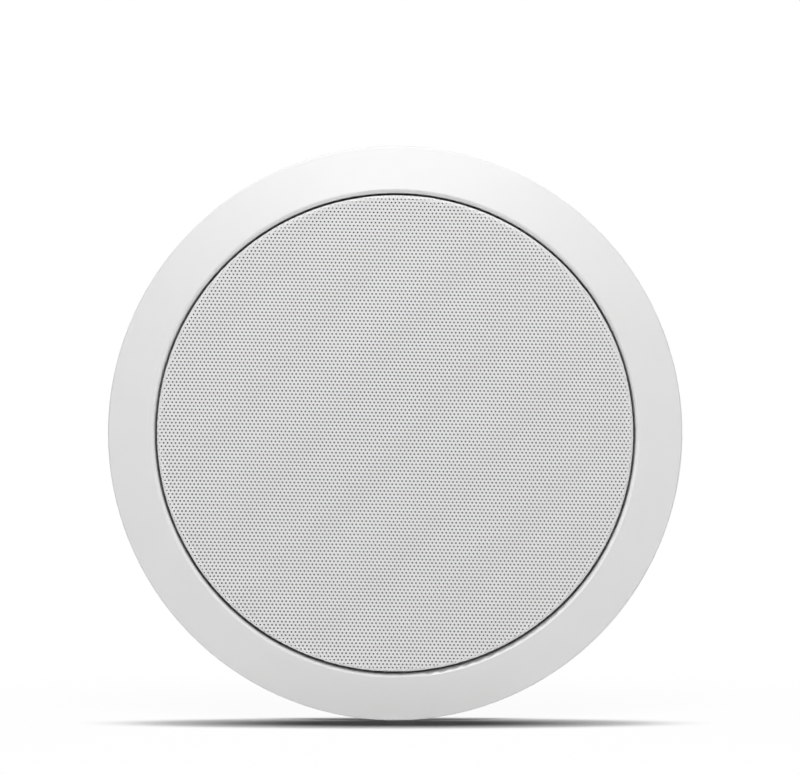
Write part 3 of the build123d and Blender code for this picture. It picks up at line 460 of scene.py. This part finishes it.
spider_cloth = finish("spider_cloth", roughness=0.85)
weave(spider_cloth, SPIDER_THREADS, SPIDER_THREAD_DEPTH, dark=(0.34, 0.20, 0.065), pale=(0.58, 0.40, 0.17))
spider = spun_ring("spider_waves", wave_line, WAVE_POINTS, SPIDER_WALL)
wear(spider, spider_cloth)
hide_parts("spider")
hang(spider, WAVES_TO, WAVES_FROM)

# Woofer motor: two zinc-plated steel plates with a ferrite ring glued between them.
# A vent runs through the pole, and a small phenolic board behind the basket carries two brass lugs.
wear(nodes["top_plate"], zinc)
wear(nodes["yoke"], zinc)
ferrite = finish("ferrite", roughness=0.55)
two_tones(ferrite, scale=500, dark=(0.024, 0.024, 0.028), pale=(0.042, 0.042, 0.046))
grain(ferrite, scale=1400, depth=0.00008, strength=0.5)
wear(nodes["magnet"], ferrite)
phenolic = finish("phenolic_sheet", roughness=0.5)
two_tones(phenolic, scale=900, dark=(0.16, 0.065, 0.022), pale=(0.25, 0.11, 0.04))
wear(nodes["woofer_terminal"], phenolic)
brass = finish("brass", roughness=0.32, metallic=1.0)
two_tones(brass, scale=260, dark=(0.60, 0.39, 0.13), pale=(0.74, 0.52, 0.21))
wear(nodes["woofer_lugs"], brass)

# Tweeter: a silk dome behind a flared face plate, with a small steel-cupped motor behind it.
# It is let into a black moulded bridge that spans the woofer.
black_abs = finish("black_abs", colour=(0.02, 0.02, 0.021))
two_tones(black_abs, scale=300, dark=(0.42, 0.42, 0.42), pale=(0.56, 0.56, 0.56), socket="Roughness")
grain(black_abs, scale=3600, depth=0.00004, strength=0.5)
for name in ("tweeter_bridge", "tweeter_face", "terminal_block", "post_black"):
    wear(nodes[name], black_abs)
silk = finish("doped_silk", colour=(0.03, 0.03, 0.034), roughness=0.5)
grain(silk, scale=4200, depth=0.00005, strength=0.6)
wear(nodes["tweeter_dome"], silk)
wear(nodes["tweeter_cup"], black_steel)
wear(nodes["tweeter_magnet"], zinc)
wear(nodes["tweeter_plate"], zinc)

# Clamps: a long plated screw that turns in the frame, and a brass bush that travels on its thread.
# A glass-filled nylon leg swings out on the bush and grips the back of the ceiling board.
nylon = finish("grey_nylon", roughness=0.55)
two_tones(nylon, scale=420, dark=(0.47, 0.47, 0.45), pale=(0.56, 0.56, 0.54))
grain(nylon, scale=2600, depth=0.00005, strength=0.5)
for number in range(1, 5):
    wear(nodes[f"clamp_screw_{number}"], zinc)
    wear(nodes[f"clamp_bush_{number}"], brass)
    wear(nodes[f"clamp_leg_{number}"], nylon)

# Crossover: a glass-fibre board under green resist with two coils, a film capacitor and a cement resistor.
# The terminal block on it has a red and a black push post.
CHOKE_FLANGES = {"woofer_choke": 0.0012, "tweeter_choke": 0.0010}
BOBBIN_MARGIN = 0.0001
TRACE_SCALE = 110
TRACE_WIDTH = 0.09
resist = finish("green_resist", roughness=0.3)
board = resist.node_tree
upright = on_piece(resist, board.nodes.new("ShaderNodeMapping"))
upright.inputs["Rotation"].default_value = (radians(90), 0, 0)
traces = board.nodes.new("ShaderNodeTexBrick")
traces.inputs["Scale"].default_value = TRACE_SCALE
traces.inputs["Mortar Size"].default_value = TRACE_WIDTH
traces.inputs["Color1"].default_value = (0.012, 0.085, 0.033, 1)
traces.inputs["Color2"].default_value = (0.016, 0.10, 0.04, 1)
traces.inputs["Mortar"].default_value = (0.03, 0.17, 0.07, 1)
board.links.new(upright.outputs["Vector"], traces.inputs["Vector"])
board.links.new(traces.outputs["Color"], surface_of(resist).inputs["Base Color"])
wear(nodes["crossover_board"], resist)
for name, flange in CHOKE_FLANGES.items():
    wear(nodes[name], enamel)
    nodes[name].data.materials.append(black_abs)
    choke_low, choke_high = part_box(name)
    wound = (choke_high.y - choke_low.y) / 2 - flange - BOBBIN_MARGIN
    for face in nodes[name].data.polygons:
        off_middle = abs(face.center.y - (choke_low.y + choke_high.y) / 2)
        face.material_index = 0 if off_middle < wound else 1
film = finish("capacitor_film", colour=(0.62, 0.38, 0.04), roughness=0.3)
grain(film, scale=500, depth=0.00005, strength=0.3)
wear(nodes["capacitor"], film)
cement = finish("cement", roughness=0.8)
two_tones(cement, scale=900, dark=(0.64, 0.63, 0.58), pale=(0.74, 0.73, 0.69))
grain(cement, scale=1600, depth=0.0001, strength=0.6)
wear(nodes["resistor"], cement)
red_abs = finish("red_abs", colour=(0.45, 0.012, 0.012))
two_tones(red_abs, scale=300, dark=(0.30, 0.30, 0.30), pale=(0.42, 0.42, 0.42), socket="Roughness")
wear(nodes["post_red"], red_abs)

# Floor, light and camera: the speaker stands on its edge on a white table under one broad, high softbox.
# The camera sees the table and the room as plain white, with a painted shadow along the line where the
# flange stands on the floor.
FLOOR_SIZE = 8
FLOOR_TONE = 0.93
# The painted shadow: a soft ellipse of darker floor colour just in front of the flange's lower edge.
PAINTED_SHADOW_REACH = 0.12
PAINTED_SHADOW_DEPTH = 0.018
PAINTED_SHADOW_SHIFT = 0.010
PAINTED_SHADOW_CORE = 0.28
PAINTED_SHADOW_END = 1.15
PAINTED_SHADOW_TONE = 0.01
PAINTED_SHADOW_BOUNCE = 0.08
WHITE_FROM = 0.75
WHITE_AT = 1.1
WHITE_MOST = 0.95
WHITE_ALL = 12.0
FRONT_FILL = 0.0
REAR_FILL = 0.6
REAR_FROM = 0.0
REAR_AT = 0.6
SOFTBOX_AT = (0, -0.76, 1.2)
SOFTBOX_TILT = 32
SOFTBOX_WIDTH = 1.2
SOFTBOX_HEIGHT = 0.7
SOFTBOX_WATTS = 20.2
FLANGE_WIDTH = 0.230
FLANGE_PIXELS = 573.6
PICTURE_PIXELS = 800
VIEW_RIGHT = 4.85
VIEW_UP = 45.6
VIEW_DISTANCE = 1.0
SENSOR = 36


def joined(tree, operation, first, second):
    """The result of one sum with two sockets, or with a socket and a number."""
    step = tree.nodes.new("ShaderNodeMath")
    step.operation = operation
    for value, socket in zip((first, second), step.inputs):
        if isinstance(value, float):
            socket.default_value = value
        else:
            tree.links.new(value, socket)
    return step.outputs["Value"]


def soft_step(tree, value, start, end, low, high):
    """A soft step from low to high as a value goes from start to end."""
    step = tree.nodes.new("ShaderNodeMapRange")
    step.interpolation_type = "SMOOTHSTEP"
    step.inputs["From Min"].default_value = start
    step.inputs["From Max"].default_value = end
    step.inputs["To Min"].default_value = low
    step.inputs["To Max"].default_value = high
    tree.links.new(value, step.inputs["Value"])
    return step.outputs["Result"]


bpy.ops.object.select_all(action="DESELECT")
bpy.ops.mesh.primitive_plane_add(size=FLOOR_SIZE, location=(0, 0, cad_box[0][2]))
floor = bpy.context.object
floor.name = "floor"
bpy.ops.object.transform_apply(location=True)
floor_white = finish("floor_white", roughness=0.9)
table = floor_white.node_tree
rays = table.nodes.new("ShaderNodeLightPath").outputs
mirrored = joined(table, "MAXIMUM", rays["Is Glossy Ray"], rays["Is Transmission Ray"])
seen = joined(table, "MAXIMUM", rays["Is Camera Ray"], mirrored)
squeeze = on_piece(floor_white, table.nodes.new("ShaderNodeMapping"))
squeeze.inputs["Location"].default_value = (0, PAINTED_SHADOW_SHIFT / PAINTED_SHADOW_DEPTH, 0)
squeeze.inputs["Scale"].default_value = (1 / PAINTED_SHADOW_REACH, 1 / PAINTED_SHADOW_DEPTH, 1)
length = table.nodes.new("ShaderNodeVectorMath")
length.operation = "LENGTH"
table.links.new(squeeze.outputs["Vector"], length.inputs[0])
away = length.outputs["Value"]
# Painted shadow: the floor colour is multiplied down inside the ellipse. Camera and mirror rays see all of
# it, bounce rays only a little.
shade = table.nodes.new("ShaderNodeMix")
shade.data_type = "RGBA"
shade.blend_type = "MULTIPLY"
shade.inputs["A"].default_value = (FLOOR_TONE, FLOOR_TONE, FLOOR_TONE, 1)
painted_shadow = soft_step(table, away, PAINTED_SHADOW_CORE, PAINTED_SHADOW_END, PAINTED_SHADOW_TONE, 1.0)
table.links.new(painted_shadow, shade.inputs["B"])
table.links.new(joined(table, "MAXIMUM", seen, PAINTED_SHADOW_BOUNCE), shade.inputs["Factor"])
table.links.new(shade.outputs["Result"], surface_of(floor_white).inputs["Base Color"])
near_white = soft_step(table, away, WHITE_FROM, WHITE_AT, 0.0, WHITE_MOST)
far_white = soft_step(table, away, WHITE_AT, WHITE_ALL, 0.0, 1 - WHITE_MOST)
white = joined(table, "MULTIPLY", joined(table, "ADD", near_white, far_white), seen)
glow = table.nodes.new("ShaderNodeEmission")
both = table.nodes.new("ShaderNodeMixShader")
table.links.new(white, both.inputs["Fac"])
table.links.new(surface_of(floor_white).outputs["BSDF"], both.inputs[1])
table.links.new(glow.outputs["Emission"], both.inputs[2])
table.links.new(both.outputs["Shader"], table.nodes["Material Output"].inputs["Surface"])
wear(floor, floor_white)
world = bpy.data.worlds.new("studio")
bpy.context.scene.world = world
world.use_nodes = True
room = world.node_tree
rays = room.nodes.new("ShaderNodeLightPath").outputs
heading = room.nodes.new("ShaderNodeSeparateXYZ")
room.links.new(room.nodes.new("ShaderNodeTexCoord").outputs["Generated"], heading.inputs["Vector"])
level = room.nodes.new("ShaderNodeMix")
fill = soft_step(room, heading.outputs["Y"], REAR_FROM, REAR_AT, FRONT_FILL, REAR_FILL)
room.links.new(fill, level.inputs["A"])
level.inputs["B"].default_value = 1.0
seen = joined(room, "MAXIMUM", rays["Is Camera Ray"], rays["Is Transmission Ray"])
room.links.new(seen, level.inputs["Factor"])
sky = room.nodes["Background"]
sky.inputs["Color"].default_value = (1, 1, 1, 1)
room.links.new(level.outputs["Result"], sky.inputs["Strength"])
bpy.ops.object.light_add(type="AREA", location=SOFTBOX_AT, rotation=(radians(SOFTBOX_TILT), 0, 0))
softbox = bpy.context.object
softbox.name = "softbox"
softbox.data.shape = "RECTANGLE"
softbox.data.size = SOFTBOX_WIDTH
softbox.data.size_y = SOFTBOX_HEIGHT
softbox.data.energy = SOFTBOX_WATTS
pixel = FLANGE_WIDTH / FLANGE_PIXELS
camera_data = bpy.data.cameras.new("camera")
camera = bpy.data.objects.new("camera", camera_data)
bpy.context.scene.collection.objects.link(camera)
camera.rotation_euler = (radians(90), 0, 0)
camera.location = (VIEW_RIGHT * pixel, -VIEW_DISTANCE, VIEW_UP * pixel)
camera_data.sensor_width = SENSOR
camera_data.lens = SENSOR * VIEW_DISTANCE / (PICTURE_PIXELS * pixel)
bpy.context.scene.camera = camera
